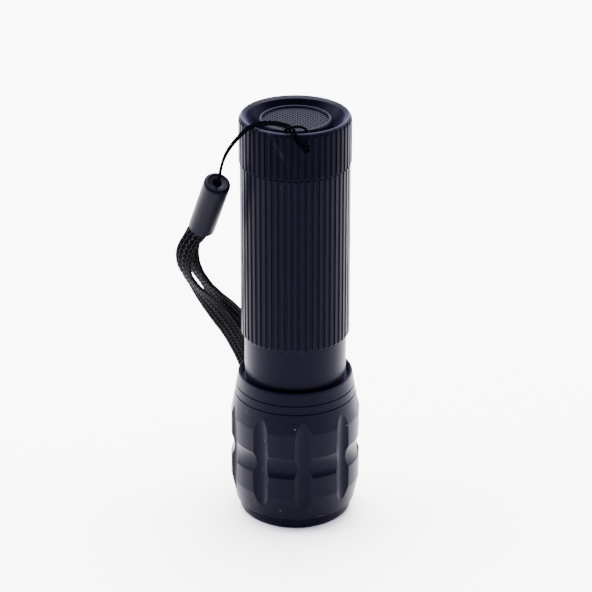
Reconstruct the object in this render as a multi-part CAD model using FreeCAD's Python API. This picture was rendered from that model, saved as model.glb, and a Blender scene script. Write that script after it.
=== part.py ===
import FreeCAD, Part
import math
import os

Vector = FreeCAD.Vector
os.makedirs("parts", exist_ok=True)

# Zoom flashlight standing on its bezel: +Z runs from the lens to the tail button,
# the origin is the centre of the bezel's face. All lengths are in millimetres.

# ---- driving dimensions: the outside
ribR = 13.0                # crest of the grip ribs on the barrel
ribCount = 52
ribDepth = 0.42
ribShare = 0.52            # crest width as a share of the pitch
neckR = 12.2               # smooth neck that the head slides on
headBottom = 3.1           # seam between the bezel ring and the head
headTop = 36.6
headR = 15.7
upperPadR = 15.62
fluteCount = 9
neckFront = 21.4
shoulderZ = 47.2           # the ribs start here
barrelTop = 90.8           # seam between the barrel and the tail cap
capR = 13.25
capTop = 102.4
zoomTravel = 10.0

# ---- driving dimensions: fits
runGap = 0.05              # radial clearance of a sliding pair
fitGap = 0.02              # radial clearance of parts that stay put
seamGap = 0.05             # between two faces that meet on different bodies

# ---- driving dimensions: battery cartridge, three AAA cells
batteryBoreR = 11.3
frontBoreR = 10.6
boreStep = 31.5            # the cartridge stops here
cellR = 5.1
cellLength = 44.5
cellCircleR = 5.95
cartridgeBottom = 31.6
cartridgeTop = 83.0
discThick = 1.8
holderR = 11.05
plateThick = 0.3

# ---- driving dimensions: tail
spigotBottom = 83.6
threadPitch = 1.25
pocketR = 9.8
boreR = 9.0                # opening that the boot shows through
coneBottom = 98.0
coneTop = 101.9
coneTopR = 11.6
pocketTop = 96.2
holeAzimuth = 10.7         # degrees from -Y towards +X
holeZ = 98.9
holeR = 1.0

# ---- driving dimensions: wrist lanyard
cordD = 0.7
strapD = 2.8               # round tube with the section area of the 4.5 mm flat braid
ferruleR = 3.3
ferruleTop = Vector(-18.0, -5.2, 87.5)
ferruleEnd = Vector(-22.1, 2.8, 73.0)

# one thin cord: out of the ferrule, over the rim and in through the hole, round the
# other two strands as a girth hitch, out through the hole and back to the ferrule
cordRoute = [
    (-18.49, -4.68, 85.56), (-17.75, -6.1, 88.15), (-17.3, -6.9, 90.9), (-16.6, -7.5, 93.9),
    (-15.4, -8.1, 96.5), (-13.8, -8.6, 98.9), (-12.0, -9.0, 101.1), (-10.0, -9.1, 102.8),
    (-7.8, -9.3, 103.4), (-5.5, -9.7, 103.7), (-3.4, -10.1, 103.6), (-1.7, -10.8, 103.15),
    (-1.05, -12.1, 103.0), (-0.7, -13.55, 102.45), (0.2, -14.0, 101.0), (1.3, -14.0, 99.75),
    (2.05, -13.6, 98.95), (1.5, -10.0, 98.85), (1.15, -9.4, 99.4), (0.3, -9.6, 100.3), (-0.9, -10.0, 101.1),
    (-1.9, -10.5, 102.0), (-2.5, -11.6, 102.95), (-1.9, -12.4, 103.5), (-0.6, -12.3, 103.95),
    (1.0, -11.8, 103.9), (2.2, -11.1, 103.2), (2.85, -10.5, 101.9), (2.8, -9.95, 100.6),
    (2.5, -9.4, 99.5), (2.35, -9.75, 98.85), (2.95, -13.45, 98.95), (2.25, -13.8, 100.0), (1.15, -13.95, 101.15),
    (0.2, -13.6, 102.5), (-0.2, -12.1, 103.1), (-1.1, -10.05, 103.4), (-3.4, -9.25, 103.8),
    (-5.5, -8.85, 103.95), (-7.8, -8.45, 103.65), (-10.0, -8.25, 103.05), (-12.0, -8.15, 101.35),
    (-13.8, -7.75, 99.15), (-15.4, -7.25, 96.75), (-16.6, -6.65, 94.15), (-17.3, -6.05, 91.15),
    (-17.75, -5.28, 88.6), (-18.49, -3.84, 86.02)]

# one flat braid: out of the ferrule, down behind the barrel, along the floor, and back
strapRoute = [
    (-22.04, 0.53, 74.07), (-22.9, 1.5, 72.0), (-24.6, 1.6, 70.2), (-26.1, 1.6, 67.6), (-26.8, 2.2, 64.4),
    (-26.2, 3.4, 60.9), (-25.0, 4.8, 57.9), (-23.2, 7.4, 53.8), (-20.9, 10.2, 49.3), (-18.5, 13.2, 44.6),
    (-16.3, 16.3, 39.9), (-14.6, 19.4, 35.0), (-13.0, 22.2, 30.2), (-11.5, 24.6, 25.0), (-10.0, 27.0, 19.6),
    (-8.7, 30.2, 13.8), (-7.6, 34.6, 8.2), (-6.7, 40.6, 4.2), (-6.0, 48.5, 2.2), (-5.6, 58.0, 1.6),
    (-6.0, 68.5, 1.5), (-5.5, 79.0, 1.6), (-6.2, 89.5, 1.5), (-5.7, 97.5, 1.5), (-2.6, 103.2, 1.6),
    (2.3, 103.5, 1.5), (5.5, 98.0, 1.6), (5.1, 90.0, 1.5), (5.5, 80.0, 1.6), (4.8, 70.0, 1.5), (5.2, 60.0, 1.6),
    (4.6, 51.0, 2.0), (3.6, 43.6, 3.6), (2.2, 37.6, 6.8), (0.4, 32.8, 11.2), (-1.8, 29.4, 16.6),
    (-4.2, 27.0, 22.8), (-6.9, 25.2, 28.8), (-9.6, 23.0, 34.6), (-12.2, 20.2, 39.8), (-14.6, 17.4, 44.3),
    (-17.2, 14.6, 48.6), (-19.7, 12.0, 52.6), (-22.1, 9.6, 56.6), (-24.2, 7.6, 60.6), (-25.2, 6.2, 64.6),
    (-24.9, 5.2, 68.3), (-23.3, 4.5, 71.6), (-21.26, 3.15, 75.29)]


# ---- small makers
def outline(start, *steps):
    """Closed wire in the XZ plane; a step is an end point or (point on arc, end point)."""
    edges = []
    here = start
    for step in steps + (start,):
        if isinstance(step[0], tuple):
            through, there = step
            edges.append(Part.Arc(Vector(here[0], 0, here[1]), Vector(through[0], 0, through[1]),
                                  Vector(there[0], 0, there[1])).toShape())
        else:
            there = step
            edges.append(Part.makeLine(Vector(here[0], 0, here[1]), Vector(there[0], 0, there[1])))
        here = there
    return Part.Wire(edges)


def turned(start, *steps):
    return Part.Face(outline(start, *steps)).revolve(Vector(0, 0, 0), Vector(0, 0, 1), 360)


def disc(radius, low, high, x=0.0, y=0.0):
    return Part.makeCylinder(radius, high - low, Vector(x, y, low))


def ring(outer, inner, low, high):
    return disc(outer, low, high).cut(disc(inner, low - 1, high + 1))


def box(cx, cy, width, depth, low, high):
    return Part.makeBox(width, depth, high - low, Vector(cx - width / 2, cy - depth / 2, low))


def around(shape, count, first=0.0):
    return [shape.rotated(Vector(0, 0, 0), Vector(0, 0, 1), first + i * 360.0 / count)
            for i in range(count)]


def ribbed(crest, low, high):
    """Bar whose outline is ribCount crests with a round groove between each two."""
    pitch = 2 * math.pi / ribCount

    def point(radius, angle):
        return Vector(radius * math.cos(angle), radius * math.sin(angle), low)

    edges = []
    for i in range(ribCount):
        middle = i * pitch
        left = middle - ribShare * pitch / 2
        right = middle + ribShare * pitch / 2
        after = middle + pitch - ribShare * pitch / 2
        edges.append(Part.Arc(point(crest, left), point(crest, middle), point(crest, right)).toShape())
        edges.append(Part.Arc(point(crest, right), point(crest - ribDepth, middle + pitch / 2),
                              point(crest, after)).toShape())
    return Part.Face(Part.Wire(edges)).extrude(Vector(0, 0, high - low))


def grooves(radius, depth, low, count, pitch, inward):
    """V rings cut into a wall at radius, inward for a male thread, outward for a female one."""
    side = -1 if inward else 1
    cutters = []
    for i in range(count):
        z = low + i * pitch
        cutters.append(turned((radius - side * 0.1, z), (radius, z), (radius + side * depth, z + pitch * 0.4),
                              (radius, z + pitch * 0.8), (radius - side * 0.1, z + pitch * 0.8)))
    return Part.makeCompound(cutters)


def softPath(points):
    """Straight runs joined by tangent arcs, with each arc's radius."""
    edges = []
    radii = []
    here = points[0]
    for before, corner, after in zip(points, points[1:], points[2:]):
        back = (before - corner).normalize()
        ahead = (after - corner).normalize()
        half = (math.pi - back.getAngle(ahead)) / 2
        trim = 0.45 * min((corner - before).Length, (after - corner).Length)
        radius = trim / math.tan(half)
        radii.append(radius)
        start = corner + back * trim
        end = corner + ahead * trim
        toCentre = (back + ahead).normalize()
        middle = corner + toCentre * (radius / math.cos(half) - radius)
        edges.append(Part.makeLine(here, start))
        edges.append(Part.Arc(start, middle, end).toShape())
        here = end
    edges.append(Part.makeLine(here, points[-1]))
    return Part.Wire(edges), radii


def along(path, start, towards, diameter):
    circle = Part.Wire(Part.makeCircle(diameter / 2, start, towards))
    return path.makePipeShell([circle], True, False)


def coil(lowR, highR, low, high, wire, turns):
    """Round-wire spring between two heights; its radius runs from lowR to highR."""
    steps = 10
    count = int(turns * steps)
    points = []
    for i in range(count + 1):
        share = i / count
        radius = lowR + (highR - lowR) * share
        angle = 2 * math.pi * i / steps
        height = low + wire / 2 + (high - low - wire) * share
        points.append(Vector(radius * math.cos(angle), radius * math.sin(angle), height))
    path = softPath(points)[0]
    return along(path, points[0], points[1] - points[0], wire)


# ---- head: slides on the neck
def makeHead():
    body = turned(
        (12.4 + fitGap, headBottom), (14.25, headBottom), (14.5, headBottom + 0.25), (headR, 9.3),
        (headR, 17.5), (upperPadR, 17.5), (upperPadR, 26.3), (14.5, 32.2), (13.85, 36.2), (13.75, headTop),
        (13.35, headTop), (13.2, 36.4), (13.2, 34.2), (neckR + runGap, 34.0), (neckR + runGap, 29.6),
        (12.95, 29.6), (12.95, 10.0), (10.9, 10.0), (10.9, 9.0), (11.9, 9.0), (11.9, 6.7),
        (12.4 + fitGap, 6.7))
    waist = turned((headR + 1, 14.7), (headR, 14.7), ((headR - 0.65, 17.5), (headR, 20.35)), (headR + 1, 20.35))
    lines = []
    for z, r in ((31.45, 14.65), (33.55, 14.29)):
        lines.append(turned((r + 0.6, z - 0.22), (r - 0.3, z - 0.1), (r - 0.3, z + 0.1), (r + 0.6, z + 0.22)))
    # a flute is a groove with a round bottom that bows away from the axis, so that it runs out to a point
    bow = 177.0
    bar = 3.3
    flute = Part.makeTorus(bow, bar, Vector(14.65 + bar + bow, 0, 17.8), Vector(0, 1, 0))
    cutters = around(flute, fluteCount, -90 + 7.5)
    for cutter in [waist] + lines + cutters:
        body = body.cut(cutter)
    return body


def makeBezel():
    return turned((11.9, 0), (13.0, 0), (13.4, 0.4), (13.65, 1.2), (13.75, headBottom - 0.15),
                  (13.6, headBottom), (12.4, headBottom), (12.4, 6.6), (11.1, 6.6), (11.1, 0.9))


def makeLens():
    domeR = 12.86
    low = 1.2
    edgeZ = 7.4
    edgeR = math.sqrt(domeR ** 2 - (low + domeR - edgeZ) ** 2)
    half = domeR * math.sin(math.asin(edgeR / domeR) / 2)
    halfZ = low + domeR - domeR * math.cos(math.asin(edgeR / domeR) / 2)
    return turned((0, low), ((half, halfZ), (edgeR, edgeZ)), (11.8, edgeZ), (11.8, 9.0), (0, 9.0))


# ---- barrel and what stays in it
def makeBarrel():
    stock = ribbed(ribR, shoulderZ, barrelTop)
    envelope = turned((0, shoulderZ), (ribR - 0.3, shoulderZ), (ribR + 0.1, shoulderZ + 0.4),
                      (ribR + 0.1, barrelTop - 0.35), (ribR - 0.25, barrelTop), (0, barrelTop))
    neck = turned((0, neckFront), (neckR - 0.5, neckFront), (neckR, neckFront + 0.5), (neckR, 25.0),
                  (11.4, 25.0), (11.4, 27.0), (neckR, 27.0), (neckR, 28.3), (11.75, 28.3), (11.75, 29.5),
                  (neckR, 29.5), (neckR, shoulderZ + 0.1), (0, shoulderZ + 0.1))
    bore = turned((0, neckFront - 1), (frontBoreR, neckFront - 1), (frontBoreR, boreStep),
                  (batteryBoreR, boreStep), (batteryBoreR, barrelTop + 1), (0, barrelTop + 1))
    thread = grooves(batteryBoreR, 0.4, spigotBottom, 4, threadPitch, False)
    return stock.common(envelope).fuse(neck).cut([bore, thread]).removeSplitter()


def makeStopRing():
    wire = Part.makeTorus(12.3, 0.5, Vector(0, 0, 28.95))
    gap = box(0, 12.3, 4.0, 3.0, 27.0, 31.0)
    return wire.cut(gap)


def makePill():
    body = turned((8.1, 20.6), (11.7, 20.6), (11.7, neckFront), (frontBoreR - fitGap, neckFront),
                  (frontBoreR - fitGap, 31.3), (9.0, 31.3), (9.0, 27.6), (8.2, 27.6), (8.2, 26.6),
                  (0, 26.6), (0, 23.4), (8.1, 23.4))
    holes = [disc(0.9, 22.0, 28.0, side * 5.0, 0) for side in (-1, 1)]
    return body.cut(holes)


def makeStar():
    board = disc(8.0, 21.9, 23.4)
    holes = [disc(0.9, 21.0, 24.0, side * 5.0, 0) for side in (-1, 1)]
    notches = [disc(1.2, 21.0, 24.0, 8.2 * math.cos(math.radians(a)), 8.2 * math.sin(math.radians(a)))
               for a in range(30, 390, 60)]
    return board.cut(holes + notches)


def makeDome():
    ball = Part.makeSphere(1.3, Vector(0, 0, 21.3))
    return ball.common(box(0, 0, 4, 4, 19.5, 21.2))


def makeDriverSpring():
    return coil(3.6, 2.0, 28.85, 31.2, 0.5, 3)


# ---- battery cartridge: everything here slides out of the tail together
cellSpots = [(cellCircleR * math.cos(math.radians(a)), cellCircleR * math.sin(math.radians(a)))
             for a in (90, 210, 330)]
cellsNubDown = (True, False, True)
plateLow = cartridgeBottom + discThick
plateHigh = cartridgeTop - discThick
cellLow = plateLow + plateThick
cellHigh = plateHigh - plateThick
springRoom = cellHigh - cellLow - cellLength


def makeHolderRib():
    sector = ring(holderR, 7.6, plateLow, plateHigh)
    wedge = box(9.5, 0, 6.0, 8.0, plateLow, plateHigh)
    cells = [disc(cellR + 0.25, plateLow, plateHigh, 5.95 * math.cos(math.radians(a)),
                  5.95 * math.sin(math.radians(a))) for a in (-60, 60)]
    return sector.common(wedge).cut(cells)


def makeHolderDisc(low, high, boltR):
    return disc(holderR, low, high).cut(disc(boltR, low - 1, high + 1))


def makeCell(spot, nubDown):
    x, y = spot
    low = cellLow if nubDown else cellLow + springRoom
    high = low + cellLength
    nub = 1.0
    if nubDown:
        return disc(cellR - 0.1, low + nub, high, x, y).fuse(disc(1.9, low, low + nub, x, y))
    return disc(cellR - 0.1, low, high - nub, x, y).fuse(disc(1.9, high - nub, high, x, y))


def makeWrap(spot, nubDown):
    x, y = spot
    low = (cellLow + 1.0 if nubDown else cellLow + springRoom) + 0.2
    high = low + cellLength - 1.4
    return disc(cellR, low, high, x, y).cut(disc(cellR - 0.1, low - 1, high + 1, x, y))


def makeCellSpring(spot, nubDown):
    low = cellHigh - springRoom if nubDown else cellLow
    small, large = (2.2, 3.6) if nubDown else (3.6, 2.2)
    return coil(small, large, low + 0.1, low + springRoom - 0.1, 0.5, 3).translated(Vector(spot[0], spot[1], 0))


def makeLink(spots, low, centre):
    """Nickel strip under one cell, or across two; centre adds a tongue to the axis."""
    strip = disc(3.9, low, low + plateThick, *spots[0])
    for spot in spots[1:]:
        strip = strip.fuse(disc(3.9, low, low + plateThick, *spot))
        middle = ((spots[0][0] + spot[0]) / 2, (spots[0][1] + spot[1]) / 2)
        bridge = box(0, 0, math.dist(spots[0], spot), 5.0, low, low + plateThick)
        turn = math.degrees(math.atan2(spot[1] - spots[0][1], spot[0] - spots[0][0]))
        bridge.rotate(Vector(0, 0, 0), Vector(0, 0, 1), turn)
        strip = strip.fuse(bridge.translated(Vector(middle[0], middle[1], 0)))
    if centre:
        tongue = box(cellCircleR / 2, 0, cellCircleR, 4.0, low, low + plateThick)
        turn = math.degrees(math.atan2(spots[0][1], spots[0][0]))
        tongue.rotate(Vector(0, 0, 0), Vector(0, 0, 1), turn)
        strip = strip.fuse([tongue, disc(2.0, low, low + plateThick)])
    return strip.removeSplitter()


def makeLinks():
    first, second, third = cellSpots
    return [makeLink([first], plateLow, True).cut(disc(1.5, plateLow - 1, plateLow + 1)),
            makeLink([second, third], plateLow, False).cut(disc(2.6, plateLow - 1, plateLow + 1)),
            makeLink([first, second], plateHigh - plateThick, False).cut(disc(2.6, plateHigh - 1, plateHigh + 1)),
            makeLink([third], plateHigh - plateThick, True).cut(disc(1.5, plateHigh - 1, plateHigh + 1))]


def makeContact(face, inside, out):
    """Brass rivet through an end disc: a broad head outside and a shank up to the strip."""
    low, high = sorted((face, inside))
    head = disc(2.6, face - out, face) if out > 0 else disc(2.6, face, face - out)
    return head.fuse(disc(1.5, low, high))


# ---- tail cap, its switch and its boot
def makeCap():
    stock = ribbed(capR, barrelTop + seamGap, capTop)
    envelope = turned((0, barrelTop + seamGap), (capR - 0.25, barrelTop + seamGap), (capR + 0.1, barrelTop + 0.4),
                      (capR + 0.1, 100.9), ((13.09, 101.78), (12.65, capTop)), (0, capTop))
    spigot = turned((0, spigotBottom), (10.9, spigotBottom), (batteryBoreR - runGap, spigotBottom + 0.4),
                    (batteryBoreR - runGap, 89.0), (10.3, 89.0), (10.3, 90.2),
                    (batteryBoreR - runGap, 90.2), (batteryBoreR - runGap, 91.5), (0, 91.5))
    inside = turned((0, spigotBottom - 1), (pocketR, spigotBottom - 1), (pocketR, pocketTop), (boreR, pocketTop),
                    (boreR, 97.7), (9.3, coneBottom), ((10.75, 100.1), (coneTopR, coneTop)),
                    (12.4, 102.25), (12.5, capTop + 0.1), (0, capTop + 0.1))
    thread = grooves(batteryBoreR - runGap, 0.3, spigotBottom + 0.5, 4, threadPitch, True)
    angle = math.radians(holeAzimuth)
    outward = Vector(math.sin(angle), -math.cos(angle), 0)
    hole = Part.makeCylinder(holeR, 6.0, outward * 8.4 + Vector(0, 0, holeZ), outward)
    return stock.common(envelope).fuse(spigot).cut([inside, thread, hole]).removeSplitter()


def makeCapSeal():
    return Part.makeTorus(10.79, 0.47, Vector(0, 0, 89.6))


def makeBoot():
    return turned((0, 98.6), (2.4, 98.6), (2.4, 100.1), (7.0, 100.1), ((7.5, 99.9), (7.7, 99.4)), (7.7, 95.2),
                  (9.7, 95.2), (9.7, 96.15), (8.85, 96.2), (8.85, 98.9), ((8.6, 100.5), (7.75, 101.15)),
                  (7.5, 101.3), (0, 101.3))


def makeSwitchHousing():
    return turned((2.05, 95.15), (9.7, 95.15), (9.7, 94.0), (8.2, 94.0), (8.2, 88.9), (3.3, 88.9),
                  (3.3, 93.5), (2.05, 93.5))


def makePlunger():
    return turned((0, 92.6), (3.2, 92.6), (3.2, 93.4), (2.0, 93.4), (2.0, 98.3), (1.8, 98.5), (0, 98.5))


def makeRetainer():
    body = ring(pocketR - fitGap, 6.6, 85.9, 87.85)
    slots = [box(side * 8.2, 0, 2.0, 1.6, 85.0, 87.0) for side in (-1, 1)]
    return body.cut(slots)


# ---- wrist lanyard
def cordTube(name, route, diameter):
    points = [Vector(*p) for p in route]
    path, radii = softPath(points)
    tube = along(path, points[0], points[1] - points[0], diameter)
    print(name, "length %.1f, radii %.2f to %.1f" % (path.Length, min(radii), max(radii)))
    print("  volume %.2f, section times length %.2f" % (
        tube.Volume, math.pi * diameter ** 2 / 4 * path.Length))
    return tube


def makeFerrule():
    axis = ferruleEnd - ferruleTop
    length = axis.Length
    body = turned((1.5, 1.4), (1.5, 0.5), (1.9, 0.0), (2.3, 0.0), ((3.1, 0.28), (ferruleR, 1.0)),
                  (ferruleR, length), (2.92, length), (2.92, length - 2.5), (1.0, length - 2.5), (1.0, 1.4))
    turn = FreeCAD.Rotation(Vector(0, 0, 1), axis)
    return body.transformed(FreeCAD.Placement(ferruleTop, turn).toMatrix(), True)


# ---- the nodes
solids = {
    "zoom_head": makeHead(),
    "bezel_ring": makeBezel(),
    "lens": makeLens(),
    "lens_gasket": ring(11.75, 11.15, 6.62, 7.38),
    "barrel": makeBarrel(),
    "neck_oring": Part.makeTorus(12.17, 0.75, Vector(0, 0, 26.0)),
    "stop_ring": makeStopRing(),
    "led_pill": makePill(),
    "led_star": makeStar(),
    "led_emitter": box(0, 0, 3.45, 3.45, 21.2, 21.9),
    "led_dome": makeDome(),
    "driver_board": disc(8.95, 27.6, 28.8),
    "driver_spring": makeDriverSpring(),
    "led_wires": Part.makeCompound([disc(0.45, 21.6, 27.6, side * 5.0, 0) for side in (-1, 1)]),
    "holder_front": makeHolderDisc(cartridgeBottom, plateLow, 1.5),
    "holder_rear": makeHolderDisc(plateHigh, cartridgeTop, 1.5),
    "holder_ribs": Part.makeCompound(around(makeHolderRib(), 3, 30)),
    "front_contact": makeContact(cartridgeBottom, plateLow + plateThick, 0.3),
    "rear_contact": makeContact(cartridgeTop, plateHigh - plateThick, -0.3),
    "link_strips": Part.makeCompound(makeLinks()),
    "cell_springs": Part.makeCompound([makeCellSpring(s, d) for s, d in zip(cellSpots, cellsNubDown)]),
    "cap_oring": makeCapSeal(),
    "tail_cap": makeCap(),
    "button_boot": makeBoot(),
    "switch_housing": makeSwitchHousing(),
    "switch_plunger": makePlunger(),
    "switch_spring": coil(2.5, 2.5, 89.0, 92.5, 0.35, 3),
    "switch_board": disc(9.7, 87.9, 88.88),
    "switch_retainer": makeRetainer(),
    "tail_spring": coil(3.0, 4.6, 83.4, 87.8, 0.6, 3),
    "lanyard_ferrule": makeFerrule(),
    "lanyard_cord": cordTube("lanyard cord", cordRoute, cordD),
    "lanyard_strap": cordTube("lanyard strap", strapRoute, strapD),
}
for number, (spot, nubDown) in enumerate(zip(cellSpots, cellsNubDown), 1):
    solids["aaa_cell_%d" % number] = makeCell(spot, nubDown)
    solids["cell_wrap_%d" % number] = makeWrap(spot, nubDown)

for name, shape in solids.items():
    if not shape.isValid():
        print("NOT VALID", name)
    shape.exportStep("parts/%s.step" % name)
print("nodes", len(solids))
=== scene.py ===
import math
import bpy
from mathutils import Matrix, Vector


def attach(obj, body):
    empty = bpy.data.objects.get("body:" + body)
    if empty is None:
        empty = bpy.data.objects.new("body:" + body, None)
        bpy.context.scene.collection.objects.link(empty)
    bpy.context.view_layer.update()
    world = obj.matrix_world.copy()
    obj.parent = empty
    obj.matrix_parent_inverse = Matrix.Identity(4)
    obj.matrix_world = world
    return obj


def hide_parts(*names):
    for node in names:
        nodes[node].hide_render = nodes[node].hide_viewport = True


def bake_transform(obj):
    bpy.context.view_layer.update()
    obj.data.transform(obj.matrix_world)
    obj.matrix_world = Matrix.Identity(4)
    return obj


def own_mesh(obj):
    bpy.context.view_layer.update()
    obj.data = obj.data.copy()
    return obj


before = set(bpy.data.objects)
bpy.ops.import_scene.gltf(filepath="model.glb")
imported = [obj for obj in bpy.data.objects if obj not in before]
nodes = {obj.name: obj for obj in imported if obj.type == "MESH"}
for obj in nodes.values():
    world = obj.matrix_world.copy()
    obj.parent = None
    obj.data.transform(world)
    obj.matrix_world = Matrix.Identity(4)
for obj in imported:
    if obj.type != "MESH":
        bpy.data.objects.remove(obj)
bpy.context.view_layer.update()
mm = 0.001
print("frame loaded:", len(nodes), "nodes")

# ---------- camera: a long lens, a little under 25 degrees down
cameraSet = {"lens": 165.4, "distance": 0.5894, "height": 0.328, "down": 24.77, "shift": 0.0012}


def makeCamera():
    data = bpy.data.cameras.new("camera")
    data.lens = cameraSet["lens"]
    data.shift_x = cameraSet["shift"]
    camera = bpy.data.objects.new("camera", data)
    camera.location = (0, -cameraSet["distance"], cameraSet["height"])
    camera.rotation_euler = (math.radians(90 - cameraSet["down"]), 0, 0)
    bpy.context.scene.collection.objects.link(camera)
    bpy.context.scene.camera = camera


makeCamera()
print("camera placed")


# ---------- shader helper: an expression on values adds its Math nodes
class Wire:
    def __init__(self, tree, socket=None):
        self.tree = tree
        self.socket = socket

    def make(self, kind, settings=None, inputs=None, output=0):
        node = self.tree.nodes.new(kind)
        for name, value in (settings or {}).items():
            if name == "stops":
                stops = node.color_ramp.elements
                while len(stops) < len(value):
                    stops.new(0.5)
                for stop, (place, colour) in zip(stops, value):
                    stop.position = place
                    stop.color = colour
            else:
                setattr(node, name, value)
        for name, value in (inputs or {}).items():
            if isinstance(value, Wire):
                self.tree.links.new(value.socket, node.inputs[name])
            else:
                node.inputs[name].default_value = value
        return Wire(self.tree, node.outputs[output] if node.outputs else None)

    def sum(self, operation, first, second):
        return self.make("ShaderNodeMath", {"operation": operation}, {0: first, 1: second})

    def __add__(self, other):
        return self.sum("ADD", self, other)

    def __radd__(self, other):
        return self.sum("ADD", other, self)

    def __sub__(self, other):
        return self.sum("SUBTRACT", self, other)

    def __rsub__(self, other):
        return self.sum("SUBTRACT", other, self)

    def __mul__(self, other):
        return self.sum("MULTIPLY", self, other)

    def __rmul__(self, other):
        return self.sum("MULTIPLY", other, self)


def newMaterial(name):
    material = bpy.data.materials.new(name)
    material.use_nodes = True
    material.node_tree.nodes.clear()
    start = Wire(material.node_tree)
    return material, start.make("ShaderNodeTexCoord", output=3)


def grain(place, scale, detail=3.0, stretch=(1, 1, 1)):
    moved = place.make("ShaderNodeMapping", None, {"Vector": place, "Scale": stretch})
    return place.make("ShaderNodeTexNoise", None,
                      {"Vector": moved, "Scale": scale, "Detail": detail, "Roughness": 0.55})


def step(value, level, soft):
    return value.make("ShaderNodeMapRange", {"clamp": True}, {0: value, 1: level - soft, 2: level + soft})


def zigzag(value, reach):
    return value.make("ShaderNodeMath", {"operation": "PINGPONG"}, {0: value, 1: reach})


def axisOf(place, number):
    return place.make("ShaderNodeSeparateXYZ", None, {0: place}, number)


def tint(factor, first, second):
    return factor.make("ShaderNodeMix", {"data_type": "RGBA"},
                       {0: factor, 6: colour(first), 7: colour(second)}, 2)


def colour(value):
    return value if isinstance(value, Wire) else (*value, 1.0)


def finish(material, place, base, rough, height=None, size=0.0, fixed=None):
    inputs = {"Base Color": colour(base), "Roughness": rough}
    if height is not None:
        inputs["Normal"] = place.make("ShaderNodeBump", None, {"Height": height, "Distance": size})
    inputs.update(fixed or {})
    shader = place.make("ShaderNodeBsdfPrincipled", None, inputs)
    place.make("ShaderNodeOutputMaterial", None, {"Surface": shader})
    return material


# ---------- metals: the last argument of anodised is a height and a softness in millimetres, and above that height the colour is painted lighter as a painted highlight
# the lighter lip colour in this table is a painted highlight on the cap lip
anodisedSet = {"dark": (0.0007, 0.0007, 0.0022), "light": (0.0016, 0.0015, 0.0042),
               "dust": (0.06, 0.06, 0.07), "wearAndHighlight": (0.02, 0.019, 0.03), "glint": (0.72, 0.69, 1.0),
               "edge": (0.55, 0.48, 1.0), "rough": 0.34, "ior": 1.38, "sheen": 0.07, "cloudScale": 90,
               "blastScale": 5200, "grindScale": 1400,
               "dustScale": 560.0, "dustSize": 0.09, "dustShare": 0.07, "hairScale": 420, "hairLevel": 0.735,
               "relief": 0.000012}


def anodised(name, dusty, specular, paintedHighlight=None):
    made = anodisedSet
    material, place = newMaterial(name)
    cloudy = grain(place, made["cloudScale"], 4)
    blasted = grain(place, made["blastScale"], 2)
    ground = grain(place, made["grindScale"], 3)
    cells = {"Vector": place, "Scale": made["dustScale"]}
    speck = place.make("ShaderNodeTexVoronoi", {"feature": "F1"}, cells)
    chance = place.make("ShaderNodeTexVoronoi", {"feature": "F1"}, cells, 1)
    chance = chance.make("ShaderNodeSeparateColor", None, {0: chance})
    chosen = step(chance, 1 - made["dustShare"] * dusty, 0.005)
    dust = (1 - step(speck, made["dustSize"], 0.05)) * chosen
    slanted = place.make("ShaderNodeMapping", None, {"Vector": place, "Rotation": (0.3, 0.5, 0.2)})
    hair = grain(slanted, made["hairScale"], 2, (1, 1, 0.1))
    scratch = step(hair, made["hairLevel"], 0.008) * step(cloudy, 0.52, 0.05) * dusty
    base = tint(cloudy, made["dark"], made["light"])
    base = tint(dust + scratch * 0.2, base, made["dust"])
    if paintedHighlight:
        low, blur = paintedHighlight
        # painted highlight: above the given height the base colour is painted lighter, patchy with the
        # cloudy tone
        wearAndHighlight = step(axisOf(place, 2), low * mm, blur * mm) * (0.45 + 0.55 * step(cloudy, 0.45, 0.12))
        base = tint(wearAndHighlight, base, made["wearAndHighlight"])
    rough = made["rough"] + (cloudy - 0.5) * 0.16 + (ground - 0.5) * 0.12 + dust * 0.3
    height = blasted * 0.5 + ground * 0.5 + scratch * -0.6
    return finish(material, place, base, rough, height, made["relief"], {
        "Specular IOR Level": specular, "Specular Tint": (*made["glint"], 1), "IOR": made["ior"],
        "Sheen Weight": made["sheen"], "Sheen Roughness": 0.3, "Sheen Tint": (*made["edge"], 1)})


def metal(name, base, wearAndHighlight, rough, brushed=(1, 1, 1)):
    material, place = newMaterial(name)
    cloudy = grain(place, 260, 4)
    fine = grain(place, 2600, 2, brushed)
    tone = tint(cloudy * 0.6 + fine * 0.4, base, wearAndHighlight)
    return finish(material, place, tone, rough + (fine - 0.5) * 0.18 + (cloudy - 0.5) * 0.1, fine,
                  0.00001, {"Metallic": 1.0})


# ---------- rubbers, plastics, cloth
def soft(name, dark, light, rough, scale=3200, size=0.00002, specular=0.4, ior=1.45):
    material, place = newMaterial(name)
    cloudy = grain(place, 180, 4)
    pebbles = grain(place, scale, 3)
    base = tint(cloudy * 0.7 + pebbles * 0.3, dark, light)
    return finish(material, place, base, rough + (pebbles - 0.5) * 0.2, pebbles, size,
                  {"Specular IOR Level": specular, "Specular Tint": (0.78, 0.76, 1.0, 1), "IOR": ior})


# the boot rubber goes dull down in the pits of its pattern, and the pits are painted near black as painted
# shade
bootShade = {"patternR": 7.5, "pitShadeZ": 101.03, "dark": (0.0012, 0.0011, 0.0032),
             "light": (0.0024, 0.0021, 0.0056), "shadedPit": (0.0001, 0.0001, 0.0002), "rough": 0.36,
             "specular": 0.02, "glint": (0.7, 0.67, 1.0)}


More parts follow.
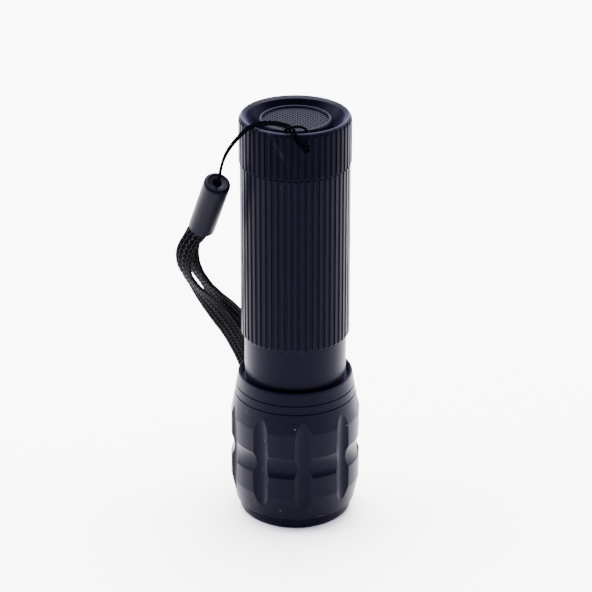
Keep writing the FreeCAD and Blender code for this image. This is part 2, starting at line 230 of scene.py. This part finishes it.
def rubber(name):
    material, place = newMaterial(name)
    cloudy = grain(place, 180, 4)
    pebbles = grain(place, 2600, 3)
    across, along, height = (axisOf(place, number) for number in range(3))
    inside = 1 - step(across * across + along * along, (bootShade["patternR"] * mm) ** 2, 0.000001)
    # painted shade: inside the pattern and below the pit height the colour is painted near black
    shadedPit = (1 - step(height, bootShade["pitShadeZ"] * mm, 0.00005)) * inside
    base = tint(cloudy * 0.7 + pebbles * 0.3, bootShade["dark"], bootShade["light"])
    base = tint(shadedPit, base, bootShade["shadedPit"])
    return finish(material, place, base, bootShade["rough"] + shadedPit * 0.5, pebbles, 0.000012,
                  {"Specular IOR Level": bootShade["specular"], "Specular Tint": (*bootShade["glint"], 1)})


def clear(name, base, rough, ior):
    material, place = newMaterial(name)
    smear = grain(place, 120, 3)
    return finish(material, place, base, rough + (smear - 0.45) * 0.03, smear, 0.000002,
                  {"Transmission Weight": 1.0, "IOR": ior})


def board(name, mask, trace, copperScale):
    material, place = newMaterial(name)
    tracks = place.make("ShaderNodeTexVoronoi", {"feature": "DISTANCE_TO_EDGE"},
                        {"Vector": place, "Scale": copperScale})
    line = 1 - step(tracks, 0.07, 0.02)
    weave = grain(place, 2400, 2)
    return finish(material, place, tint(line * 0.7 + weave * 0.15, mask, trace), 0.38 + (weave - 0.5) * 0.2,
                  line + weave * 0.3, 0.00003)


# the braid reads the strap's own map: u once round it, v in metres along it
# dark and light are painted shade in the row gaps and lighter row crests; glint is a painted highlight
braidShade = {"rows": 5, "stitch": 0.0014, "dark": (0.0001, 0.0001, 0.0002),
              "light": (0.0012, 0.0012, 0.0018), "glint": (0.03, 0.03, 0.04), "specular": 0.02,
              "relief": 0.00012}


def braid(name):
    material, place = newMaterial(name)
    run = place.make("ShaderNodeUVMap", {"uv_map": "run"})
    around = axisOf(run, 0) * (2 * math.pi)
    around = around.make("ShaderNodeMath", {"operation": "COSINE"}, {0: around})
    across = (around * 0.5 + 0.5) * braidShade["rows"]
    rows = zigzag(across, 0.5) * 2
    odd = step(zigzag(across, 1.0), 0.5, 0.02)
    stitches = zigzag(axisOf(run, 1) * (1 / braidShade["stitch"]) + odd * 0.5 + rows * 0.35, 0.5) * 2
    fibre = grain(place, 7000, 2)
    cloudy = grain(place, 240, 3)
    # painted highlight: a lighter glint colour on the stitch crests of each row
    glint = step(stitches + fibre * 0.25, 0.86, 0.16) * step(rows, 0.62, 0.16)
    # painted shade: the gaps between the rows are painted dark and the row crests lighter, mixed with a
    # random cloudy tone
    base = tint(rows * 0.55 + cloudy * 0.3, braidShade["dark"], braidShade["light"])
    base = tint(glint * 0.8, base, braidShade["glint"])
    return finish(material, place, base, 0.7 - glint * 0.25, rows * 0.6 + stitches * 0.5 + fibre * 0.2,
                  braidShade["relief"], {"Specular IOR Level": braidShade["specular"]})


look = {
    "head": anodised("headAnodised", 1.0, 0.06),
    "bezel": anodised("bezelAnodised", 1.0, 0.05),
    "barrel": anodised("barrelAnodised", 0.35, 0.05),
    # the cap lip above 102.2 mm gets the painted highlight
    "cap": anodised("capAnodised", 0.4, 0.028, (102.2, 0.12)),
    "steel": metal("springSteel", (0.5, 0.5, 0.51), (0.66, 0.66, 0.68), 0.28),
    "brass": metal("turnedBrass", (0.62, 0.43, 0.16), (0.78, 0.6, 0.3), 0.3, (1, 1, 9)),
    "nickel": metal("nickelPlate", (0.55, 0.53, 0.5), (0.68, 0.67, 0.64), 0.3),
    "can": metal("cellCan", (0.5, 0.5, 0.5), (0.64, 0.64, 0.65), 0.26, (1, 1, 0.1)),
    "boot": rubber("bootRubber"),
    "seal": soft("sealRubber", (0.008, 0.008, 0.009), (0.02, 0.02, 0.021), 0.3, 900, 0.00001, 0.5),
    "holder": soft("holderPlastic", (0.012, 0.012, 0.013), (0.024, 0.024, 0.026), 0.45, 1800),
    "wrap": soft("cellWrap", (0.05, 0.07, 0.1), (0.07, 0.09, 0.13), 0.3, 700, 0.00001),
    "switch": soft("switchPlastic", (0.68, 0.67, 0.63), (0.78, 0.77, 0.73), 0.42, 1500),
    "ferrule": soft("ferrulePlastic", (0.0009, 0.0009, 0.0024), (0.002, 0.0019, 0.0045), 0.36, 1300, 0.00001,
                    0.035, 1.38),
    "cord": soft("cordNylon", (0.0004, 0.0004, 0.0008), (0.001, 0.001, 0.002), 0.6, 5200, 0.00001, 0.01,
                 1.2),
    "braid": braid("braidNylon"),
    "wire": soft("wireSilicone", (0.35, 0.02, 0.015), (0.5, 0.04, 0.03), 0.4, 1200),
    "phosphor": soft("phosphor", (0.72, 0.56, 0.06), (0.85, 0.72, 0.16), 0.5, 5000),
    "star": board("starBoard", (0.74, 0.74, 0.72), (0.5, 0.5, 0.47), 260),
    "driver": board("driverBoard", (0.02, 0.13, 0.05), (0.05, 0.25, 0.1), 420),
    "lens": clear("lensAcrylic", (0.96, 0.98, 1.0), 0.02, 1.49),
    "dome": clear("domeSilicone", (0.97, 0.95, 0.85), 0.05, 1.41),
}

wears = {
    "seal": ["lens_gasket", "neck_oring", "cap_oring"],
    "steel": ["stop_ring", "driver_spring", "cell_springs", "switch_spring", "tail_spring"],
    "brass": ["led_pill", "front_contact", "rear_contact", "switch_retainer"],
    "nickel": ["link_strips"],
    "can": ["aaa_cell_1", "aaa_cell_2", "aaa_cell_3"],
    "wrap": ["cell_wrap_1", "cell_wrap_2", "cell_wrap_3"],
    "holder": ["holder_front", "holder_rear", "holder_ribs"],
    "switch": ["switch_housing", "switch_plunger"],
    "wire": ["led_wires"], "phosphor": ["led_emitter"], "star": ["led_star"],
    "driver": ["driver_board", "switch_board"], "dome": ["led_dome"], "lens": ["lens"],
    "head": ["zoom_head"], "bezel": ["bezel_ring"], "barrel": ["barrel"], "cap": ["tail_cap"],
    "boot": ["button_boot"], "ferrule": ["lanyard_ferrule"], "cord": ["lanyard_cord"],
    "braid": ["lanyard_strap"],
}


def paint(piece, name):
    piece.data.materials.clear()
    piece.data.materials.append(look[name])


for finishName, members in wears.items():
    for member in members:
        paint(nodes[member], finishName)
print("materials made:", len(look))


# ---------- lanyard: the cord and the braid follow given points
cordSet = {"thick": 0.0007, "strands": 3, "strandShare": 0.27, "lay": 0.0021, "sides": 8}
strapSet = {"wide": 0.0045, "thick": 0.0014, "rows": 5, "stitch": 0.0014, "relief": 0.00022, "sides": 44,
            "edgeCurve": 0.75, "faceCurve": 0.6, "lieZ": 0.012, "hangZ": 0.032}

cordRoute = [
    (-18.49, -4.68, 85.56), (-17.75, -6.1, 88.15), (-17.3, -6.9, 90.9), (-16.6, -7.5, 93.9),
    (-15.4, -8.1, 96.5), (-13.8, -8.6, 98.9), (-12.0, -9.0, 101.1), (-10.0, -9.1, 102.8),
    (-7.8, -9.3, 103.4), (-5.5, -9.7, 103.7), (-3.4, -10.1, 103.6), (-1.7, -10.8, 103.15),
    (-1.05, -12.1, 103.0), (-0.7, -13.55, 102.45), (0.2, -14.0, 101.0), (1.3, -14.0, 99.75),
    (2.05, -13.6, 98.95), (1.5, -10.0, 98.85), (1.15, -9.4, 99.4), (0.3, -9.6, 100.3), (-0.9, -10.0, 101.1),
    (-1.9, -10.5, 102.0), (-2.5, -11.6, 102.95), (-1.9, -12.4, 103.5), (-0.6, -12.3, 103.95),
    (1.0, -11.8, 103.9), (2.2, -11.1, 103.2), (2.85, -10.5, 101.9), (2.8, -9.95, 100.6),
    (2.5, -9.4, 99.5), (2.35, -9.75, 98.85), (2.95, -13.45, 98.95), (2.25, -13.8, 100.0),
    (1.15, -13.95, 101.15), (0.2, -13.6, 102.5), (-0.2, -12.1, 103.1), (-1.1, -10.05, 103.4),
    (-3.4, -9.25, 103.8),
    (-5.5, -8.85, 103.95), (-7.8, -8.45, 103.65), (-10.0, -8.25, 103.05), (-12.0, -8.15, 101.35),
    (-13.8, -7.75, 99.15), (-15.4, -7.25, 96.75), (-16.6, -6.65, 94.15), (-17.3, -6.05, 91.15),
    (-17.75, -5.28, 88.6), (-18.49, -3.84, 86.02)]

# the fourth number turns the flat side about the run, in degrees
strapRoute = [
    (-22.04, 0.53, 74.07, 0), (-22.9, 1.5, 72.0, 0), (-24.6, 1.6, 70.2, 5), (-26.1, 1.6, 67.6, 15),
    (-26.8, 2.2, 64.4, 40), (-26.3, 3.4, 60.9, 62), (-24.9, 4.8, 57.7, 60), (-22.9, 7.4, 53.7, 35),
    (-20.7, 10.2, 49.3, 12), (-18.5, 13.2, 44.6, 0), (-16.3, 16.3, 39.9, 0), (-14.6, 19.4, 35.0, 0),
    (-13.0, 22.2, 30.2, 0), (-11.5, 24.6, 25.0, 0), (-10.0, 27.0, 19.6, 0), (-8.7, 30.2, 13.8, 0),
    (-7.6, 34.6, 8.2, 0), (-6.7, 40.6, 3.9, 0), (-6.0, 48.5, 1.6, 0), (-5.6, 58.0, 0.9, 0),
    (-6.0, 68.5, 0.85, 0), (-5.5, 79.0, 0.85, 0), (-6.2, 89.5, 0.85, 0), (-5.7, 97.5, 0.85, 0),
    (-2.6, 103.2, 0.85, 0),
    (2.3, 103.5, 0.85, 0), (5.5, 98.0, 0.85, 0), (5.1, 90.0, 0.85, 0), (5.5, 80.0, 0.85, 0),
    (4.8, 70.0, 0.85, 0), (5.2, 60.0, 0.9, 0), (4.6, 51.0, 1.6, 0), (3.6, 43.6, 3.4, 0), (2.2, 37.6, 6.8, 0),
    (0.4, 32.8, 11.2, 0), (-1.8, 29.4, 16.6, 0), (-4.2, 27.0, 22.8, 0), (-6.9, 25.2, 28.8, 0),
    (-9.9, 23.0, 34.2, 0), (-12.9, 20.4, 39.0, 0), (-15.4, 17.6, 43.5, 0), (-17.9, 14.8, 47.8, -15),
    (-20.2, 12.2, 52.0, -40), (-22.4, 9.8, 56.2, -55), (-24.3, 7.6, 60.4, -50), (-25.2, 6.2, 64.6, -30),
    (-24.9, 5.2, 68.3, -10), (-23.3, 4.5, 71.6, 0), (-21.26, 3.15, 75.29, 0)]


def smoothLine(name, route, steps):
    data = bpy.data.curves.new(name, "CURVE")
    data.dimensions = "3D"
    data.resolution_u = steps
    spline = data.splines.new("NURBS")
    spline.points.add(len(route) - 1)
    for point, place in zip(spline.points, route):
        point.co = (place[0] * mm, place[1] * mm, place[2] * mm, 1)
    spline.order_u = 3
    spline.use_endpoint_u = True
    holder = bpy.data.objects.new(name, data)
    mesh = bpy.data.meshes.new_from_object(holder)
    points = [v.co.copy() for v in mesh.vertices]
    bpy.data.objects.remove(holder)
    bpy.data.meshes.remove(mesh)
    return points


def runOf(points):
    along = [0.0]
    for a, b in zip(points, points[1:]):
        along.append(along[-1] + (b - a).length)
    return along


def directions(points):
    last = len(points) - 1
    return [(points[min(i + 1, last)] - points[max(i - 1, 0)]).normalized() for i in range(last + 1)]


def skin(name, rings, uvLength=None):
    mesh = bpy.data.meshes.new(name)
    sides = len(rings[0])
    verts = [v for one in rings for v in one]
    faces = []
    for i in range(len(rings) - 1):
        for k in range(sides):
            n = (k + 1) % sides
            faces.append((i * sides + k, i * sides + n, (i + 1) * sides + n, (i + 1) * sides + k))
    faces.append(tuple(reversed(range(sides))))
    faces.append(tuple((len(rings) - 1) * sides + k for k in range(sides)))
    mesh.from_pydata(verts, [], faces)
    if uvLength:
        layer = mesh.uv_layers.new(name="run")
        for face in mesh.polygons:
            spots = [mesh.loops[loop].vertex_index for loop in face.loop_indices]
            wraps = len(spots) == 4 and {0, sides - 1} <= {spot % sides for spot in spots}
            for loop, spot in zip(face.loop_indices, spots):
                share = 1.0 if wraps and spot % sides == 0 else spot % sides / sides
                layer.data[loop].uv = (share, uvLength[spot // sides])
    mesh.polygons.foreach_set("use_smooth", [True] * len(mesh.polygons))
    piece = bpy.data.objects.new(name, mesh)
    bpy.context.scene.collection.objects.link(piece)
    return piece


def makeCord():
    points = smoothLine("cordLine", cordRoute, 9)
    along, ways = runOf(points), directions(points)
    radius = cordSet["thick"] * cordSet["strandShare"]
    offset = cordSet["thick"] / 2 - radius
    side = Vector((0, 1, 0)).cross(ways[0]).normalized()
    frames = []
    for way in ways:
        side = (side - way * side.dot(way)).normalized()
        frames.append((side.copy(), way.cross(side)))
    strands = []
    for strand in range(cordSet["strands"]):
        rings = []
        for point, run, (a, b) in zip(points, along, frames):
            turn = 2 * math.pi * (run / cordSet["lay"] + strand / cordSet["strands"])
            middle = point + (a * math.cos(turn) + b * math.sin(turn)) * offset
            rings.append([middle + (a * math.cos(t) + b * math.sin(t)) * radius for t in
                          (2 * math.pi * k / cordSet["sides"] for k in range(cordSet["sides"]))])
        strands.append(skin("cordStrand", rings))
    return joined("lanyardCord", strands), points, along[-1]


def joined(name, pieces):
    bpy.ops.object.select_all(action="DESELECT")
    for piece in pieces:
        piece.select_set(True)
    bpy.context.view_layer.objects.active = pieces[0]
    if len(pieces) > 1:
        bpy.ops.object.join()
    piece = bpy.context.object
    piece.name = name
    piece.data.name = name
    return piece


def makeStrap():
    points = smoothLine("strapLine", strapRoute, 22)
    along, ways = runOf(points), directions(points)
    turns = [p[3] for p in strapRoute]
    rings = []
    half, thin = strapSet["wide"] / 2, strapSet["thick"] / 2
    for i, (point, run, way) in enumerate(zip(points, along, ways)):
        spot = i / (len(points) - 1) * (len(turns) - 1)
        low = min(int(spot), len(turns) - 2)
        turn = math.radians(turns[low] + (turns[low + 1] - turns[low]) * (spot - low))
        mixed = min(max((point.z - strapSet["lieZ"]) / (strapSet["hangZ"] - strapSet["lieZ"]), 0), 1)
        towards = Vector((0, -0.2, 1)).lerp(Vector((-0.1, -1, 0.35)), mixed)
        face = (towards - way * towards.dot(way)).normalized()
        face = Matrix.Rotation(turn, 3, way) @ face
        edge = way.cross(face)
        one = []
        for k in range(strapSet["sides"]):
            t = 2 * math.pi * k / strapSet["sides"]
            across = math.copysign(abs(math.cos(t)) ** strapSet["edgeCurve"], math.cos(t))
            up = math.copysign(abs(math.sin(t)) ** strapSet["faceCurve"], math.sin(t))
            row = (across + 1) / 2 * strapSet["rows"]
            number = min(int(row), strapSet["rows"] - 1)
            ridge = math.sin(math.pi * (row - number))
            wave = math.cos(2 * math.pi * (run / strapSet["stitch"] + (number % 2) * 0.5
                                           + abs(row - number - 0.5) * 0.8))
            lift = strapSet["relief"] * (ridge ** 0.7 - 0.75 + 0.22 * wave * ridge)
            one.append(point + edge * across * half + face * up * (thin - strapSet["relief"] * 0.6 + lift))
        rings.append(one)
    return skin("lanyardStrap", rings, along), points, along[-1]


cord, cordPoints, cordLength = makeCord()
cord.data.materials.append(look["cord"])
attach(cord, "tail_cap")
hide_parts("lanyard_cord")
strap, strapPoints, strapLength = makeStrap()
strap.data.materials.append(look["braid"])
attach(strap, "tail_cap")
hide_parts("lanyard_strap")
print("lanyard: cord %.1f mm, strap %.1f mm" % (cordLength / mm, strapLength / mm))


# ---------- modelling helpers: faces are picked by place, then shaped
def cylinder(name, sides, radius, low, high):
    bpy.ops.object.select_all(action="DESELECT")
    bpy.ops.mesh.primitive_cylinder_add(vertices=sides, radius=radius * mm, depth=(high - low) * mm,
                                        location=(0, 0, (high + low) / 2 * mm))
    bpy.ops.object.transform_apply(location=True, rotation=True, scale=True)
    piece = bpy.context.object
    piece.name = name
    return piece


def pickFaces(piece, wanted):
    bpy.ops.object.mode_set(mode="EDIT")
    bpy.ops.mesh.select_mode(type="FACE")
    bpy.ops.mesh.select_all(action="DESELECT")
    bpy.ops.object.mode_set(mode="OBJECT")
    for face in piece.data.polygons:
        face.select = wanted(face)
    bpy.ops.object.mode_set(mode="EDIT")


def stepIn(inward, up):
    bpy.ops.mesh.inset(thickness=inward * mm, depth=up * mm, use_even_offset=True)


def leaveEdit(angle=None):
    bpy.ops.object.mode_set(mode="OBJECT")
    if angle is not None:
        bpy.ops.object.shade_smooth_by_angle(angle=math.radians(angle))


# ---------- ferrule: a little moulded barrel, ringed at its top
ferruleSet = {"radius": 3.3, "top": (-18.0, -5.2, 87.5), "end": (-22.1, 2.8, 73.0), "sides": 72,
              "shoulder": 0.12, "domed": 0.9,
              "topSteps": ((-0.1, 0.0), (0.0, 0.2), (0.06, 0.24), (0.14, 0.2), (0.22, 0.14), (0.26, 0.06),
                           (0.2, 0.0), (0.07, -0.05), (0.05, -0.18), (0.09, -0.02), (0.05, 0.06),
                           (0.75, -0.08), (0.2, -0.08), (0.08, -0.16), (0.02, -2.6)),
              "endSteps": ((0.12, 0.12), (0.15, 0.0), (0.15, -0.15), (0.0, -3.2))}


def makeFerrule():
    top, end = Vector(ferruleSet["top"]), Vector(ferruleSet["end"])
    length = (top - end).length
    piece = cylinder("lanyardFerrule", ferruleSet["sides"], ferruleSet["radius"] - ferruleSet["shoulder"], 0,
                     length - ferruleSet["domed"])
    pickFaces(piece, lambda f: f.normal.z > 0.9)
    for inward, up in ferruleSet["topSteps"]:
        stepIn(inward, up)
    pickFaces(piece, lambda f: f.normal.z < -0.9)
    for inward, up in ferruleSet["endSteps"]:
        stepIn(inward, up)
    leaveEdit(38)
    turn = (top - end).to_track_quat("Z", "Y").to_matrix().to_4x4()
    piece.data.transform(Matrix.Translation(end * mm) @ turn)
    piece.data.materials.append(look["ferrule"])
    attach(piece, "tail_cap")
    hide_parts("lanyard_ferrule")
    return piece


ferrule = makeFerrule()
print("ferrule made")

# ---------- push-button boot: a rounded shoulder round a sunk disc with a lattice of raised lines
bootSet = {"shoulderR": 8.85, "discR": 7.55, "low": 95.2, "turnZ": 98.9, "ringR": 8.35, "ringZ": 101.5,
           "discZ": 101.12, "pitch": 0.83, "line": 0.32, "shadedPit": 0.42, "sides": 128, "cells": 22,
           "plate": 0.6, "proud": 0.02,
           "arc": (12, 25, 38, 50, 62, 74, 86),
           "ringSteps": ((0.2, 0.06), (0.25, 0.02), (0.15, -0.06), (0.1, -0.18), (0.05, -0.7)),
           "underSteps": ((1.15, 0.0), (0.02, -4.9), (5.2, 0.0), (0.02, 1.5))}


def makeBoot():
    piece = cylinder("buttonBoot", bootSet["sides"], bootSet["shoulderR"], bootSet["low"], bootSet["turnZ"])
    pickFaces(piece, lambda f: f.normal.z > 0.9)
    wide, tall = bootSet["shoulderR"] - bootSet["ringR"], bootSet["ringZ"] - bootSet["turnZ"]
    last = (0.0, 0.0)
    for degree in bootSet["arc"]:
        here = (wide * (1 - math.cos(math.radians(degree))), tall * math.sin(math.radians(degree)))
        stepIn(here[0] - last[0], here[1] - last[1])
        last = here
    for inward, up in bootSet["ringSteps"]:
        stepIn(inward, up)
    pickFaces(piece, lambda f: f.normal.z < -0.9)
    for inward, up in bootSet["underSteps"]:
        stepIn(inward, up)
    leaveEdit(50)
    piece.data.materials.append(look["boot"])
    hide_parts("button_boot")
    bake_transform(piece)
    return piece


def makeDiamonds():
    count = bootSet["cells"]
    bpy.ops.object.select_all(action="DESELECT")
    bpy.ops.mesh.primitive_grid_add(
        x_subdivisions=count, y_subdivisions=count, size=count * bootSet["pitch"] * mm,
        location=(0, 0, (bootSet["discZ"] + bootSet["proud"]) * mm), rotation=(0, 0, math.pi / 4))
    piece = bpy.context.object
    piece.name = "bootDiamonds"
    bpy.ops.object.transform_apply(location=True, rotation=True, scale=True)
    pickFaces(piece, lambda f: f.center.xy.length > (bootSet["discR"] + 1.2) * mm)
    bpy.ops.mesh.delete(type="FACE")
    leaveEdit()
    wall = piece.modifiers.new("plate", "SOLIDIFY")
    wall.thickness = bootSet["plate"] * mm
    wall.offset = -1
    bpy.ops.object.modifier_apply(modifier=wall.name)
    pickFaces(piece, lambda f: f.normal.z > 0.9)
    bpy.ops.mesh.inset(thickness=bootSet["line"] / 2 * mm, depth=0, use_individual=True)
    bpy.ops.mesh.inset(thickness=0.06 * mm, depth=-bootSet["shadedPit"] * mm, use_individual=True)
    leaveEdit()
    punch = cylinder("bootPunch", bootSet["sides"], bootSet["discR"] - 0.03, bootSet["discZ"] - 2,
                     bootSet["discZ"] + 2)
    trim = piece.modifiers.new("round", "BOOLEAN")
    trim.operation = "INTERSECT"
    trim.object = punch
    bpy.context.view_layer.objects.active = piece
    bpy.ops.object.modifier_apply(modifier=trim.name)
    bpy.data.objects.remove(punch)
    piece.data.materials.clear()
    piece.data.materials.append(look["boot"])
    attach(piece, "button")
    return piece


makeBoot()
makeDiamonds()
print("boot made")


# ---------- the switch spring: the part's mesh copied, its doubled points merged, shaded smooth and carried by the tail cap
def makeSwitchSpring():
    source = nodes["switch_spring"]
    piece = bpy.data.objects.new("switchSpring", source.data.copy())
    bpy.context.scene.collection.objects.link(piece)
    bpy.ops.object.select_all(action="DESELECT")
    piece.select_set(True)
    bpy.context.view_layer.objects.active = piece
    bpy.ops.object.mode_set(mode="EDIT")
    bpy.ops.mesh.select_all(action="SELECT")
    bpy.ops.mesh.remove_doubles(threshold=0.000002)
    leaveEdit(40)
    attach(piece, "tail_cap")
    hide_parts("switch_spring")
    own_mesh(piece)


makeSwitchSpring()
print("switch spring made")


# ---------- studio: soft boxes are (name, place, size, power, tone)
studioSet = {"paper": ((0.95, 0.95, 0.92), (0.97, 0.97, 0.94)), "aim": (0, 0, 0.05),
             "sky": (0.82, 0.82, 1.0, 1), "skyStrength": 0.5,
             "lamps": (("leftBox", (-0.9, 0.15, 0.55), 0.9, 45.0, (0.84, 0.82, 1.0)),
                       ("rightBox", (0.9, 0.2, 0.5), 0.8, 25.0, (0.84, 0.82, 1.0)),
                       ("topBox", (0.0, 0.45, 1.3), 1.2, 175.0, (0.98, 0.97, 1.0)),
                       ("backBox", (0.0, 1.5, 0.45), 1.4, 30.0, (0.9, 0.88, 1.0)))}


def makeStudio():
    bpy.ops.object.select_all(action="DESELECT")
    bpy.ops.mesh.primitive_plane_add(size=6, location=(0, 0, 0))
    floor = bpy.context.object
    floor.name = "floor"
    material, place = newMaterial("palePaper")
    cloudy = grain(place, 3, 3)
    finish(material, place, tint(cloudy, *studioSet["paper"]), 0.8)
    floor.data.materials.append(material)
    for name, place, size, power, tone in studioSet["lamps"]:
        data = bpy.data.lights.new(name, "AREA")
        data.size = size
        data.energy = power
        data.color = tone
        lamp = bpy.data.objects.new(name, data)
        lamp.location = place
        lamp.rotation_euler = (Vector(studioSet["aim"]) - Vector(place)).to_track_quat("-Z", "Y").to_euler()
        bpy.context.scene.collection.objects.link(lamp)
    world = bpy.data.worlds.new("studio")
    world.use_nodes = True
    world.node_tree.nodes["Background"].inputs["Color"].default_value = studioSet["sky"]
    world.node_tree.nodes["Background"].inputs["Strength"].default_value = studioSet["skyStrength"]
    bpy.context.scene.world = world


makeStudio()
print("studio lit")
